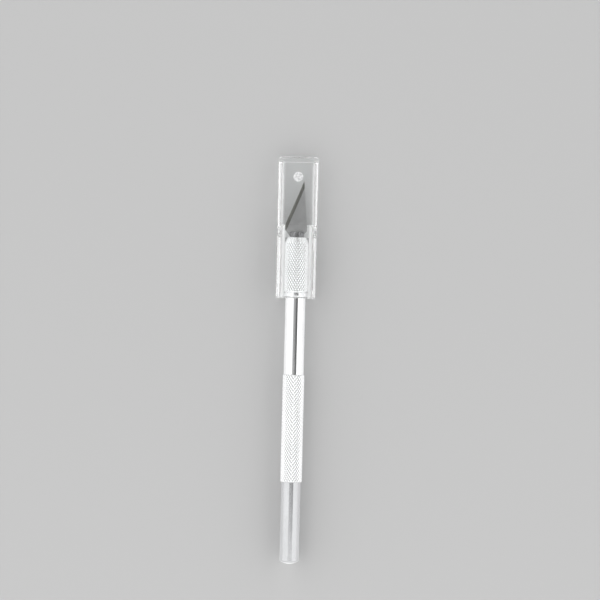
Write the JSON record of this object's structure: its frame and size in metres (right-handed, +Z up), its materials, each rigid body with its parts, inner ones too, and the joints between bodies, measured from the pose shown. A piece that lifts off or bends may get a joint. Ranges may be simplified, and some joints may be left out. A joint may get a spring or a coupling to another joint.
{
  "type": "hobby craft knife",
  "caption": "Slim round aluminium craft knife with knurled grip and collar, a slotted collet holding a slanted flat blade, and a clear push-on safety cap.",
  "frame": {"origin": "under the middle of the capped knife's length, in the plane of the safety cap's underside", "axes": "+Y along the knife's axis towards the blade's point, +Z up out of the blade's flat, -X on the side of the cutting edge"},
  "size_m": [0.0142, 0.1452, 0.011],
  "materials": {
    "aluminium": "turned, polished neck, knurled grip and collar",
    "collet_aluminium": "machined, saw-cut",
    "blade_steel": "ground flat with a finer ground bevel",
    "clear_plastic": "clear moulded plastic"
  },
  "bodies": {
    "handle_body": {"handle": "aluminium", "collet": "collet_aluminium"},
    "collar_ring_body": {"collar_rear_ring": "aluminium"},
    "collar_body": {"collar": "aluminium"},
    "jaw_upper_right_body": {"collet_jaw_upper_right": "collet_aluminium"},
    "jaw_lower_right_body": {"collet_jaw_lower_right": "collet_aluminium"},
    "jaw_lower_left_body": {"collet_jaw_lower_left": "collet_aluminium"},
    "jaw_upper_left_body": {"collet_jaw_upper_left": "collet_aluminium"},
    "blade_body": {"blade": "blade_steel"},
    "cap_body": {"safety_cap": "clear_plastic"}
  },
  "joints": [
    {"name": "collar_advance", "type": "slide", "parent": "handle_body", "child": "collar_ring_body", "axis": [0, 1, 0], "range_m": [0, 0.001]},
    {"name": "collar_turn", "type": "hinge", "parent": "collar_ring_body", "child": "collar_body", "pos_m": [0, 0.0341, 0.0055], "axis": [0, 1, 0], "range_deg": [0, 720]},
    {"name": "jaw_upper_right_flex", "type": "hinge", "parent": "handle_body", "child": "jaw_upper_right_body", "pos_m": [0.00113, 0.03098, 0.00663], "axis": [0.7071, 0, -0.7071], "range_deg": [0, 0.82]},
    {"name": "jaw_lower_right_flex", "type": "hinge", "parent": "handle_body", "child": "jaw_lower_right_body", "pos_m": [0.00113, 0.03098, 0.00437], "axis": [-0.7071, 0, -0.7071], "range_deg": [0, 0.82]},
    {"name": "jaw_lower_left_flex", "type": "hinge", "parent": "handle_body", "child": "jaw_lower_left_body", "pos_m": [-0.00113, 0.03098, 0.00437], "axis": [-0.7071, 0, 0.7071], "range_deg": [0, 0.82]},
    {"name": "jaw_upper_left_flex", "type": "hinge", "parent": "handle_body", "child": "jaw_upper_left_body", "pos_m": [-0.00113, 0.03098, 0.00663], "axis": [0.7071, 0, 0.7071], "range_deg": [0, 0.82]},
    {"name": "blade_slide", "type": "slide", "parent": "handle_body", "child": "blade_body", "axis": [0, 1, 0], "range_m": [0, 0.02]},
    {"name": "cap_slide", "type": "slide", "parent": "blade_body", "child": "cap_body", "axis": [0, 1, 0], "range_m": [0, 0.06]}
  ],
  "couplings": [
    {"joint": "collar_turn", "follows": "collar_advance", "rad_per_m": 12566},
    {"joint": "jaw_upper_right_flex", "follows": "collar_advance", "rad_per_m": 13.963},
    {"joint": "jaw_lower_right_flex", "follows": "collar_advance", "rad_per_m": 13.963},
    {"joint": "jaw_lower_left_flex", "follows": "collar_advance", "rad_per_m": 13.963},
    {"joint": "jaw_upper_left_flex", "follows": "collar_advance", "rad_per_m": 13.963}
  ]
}
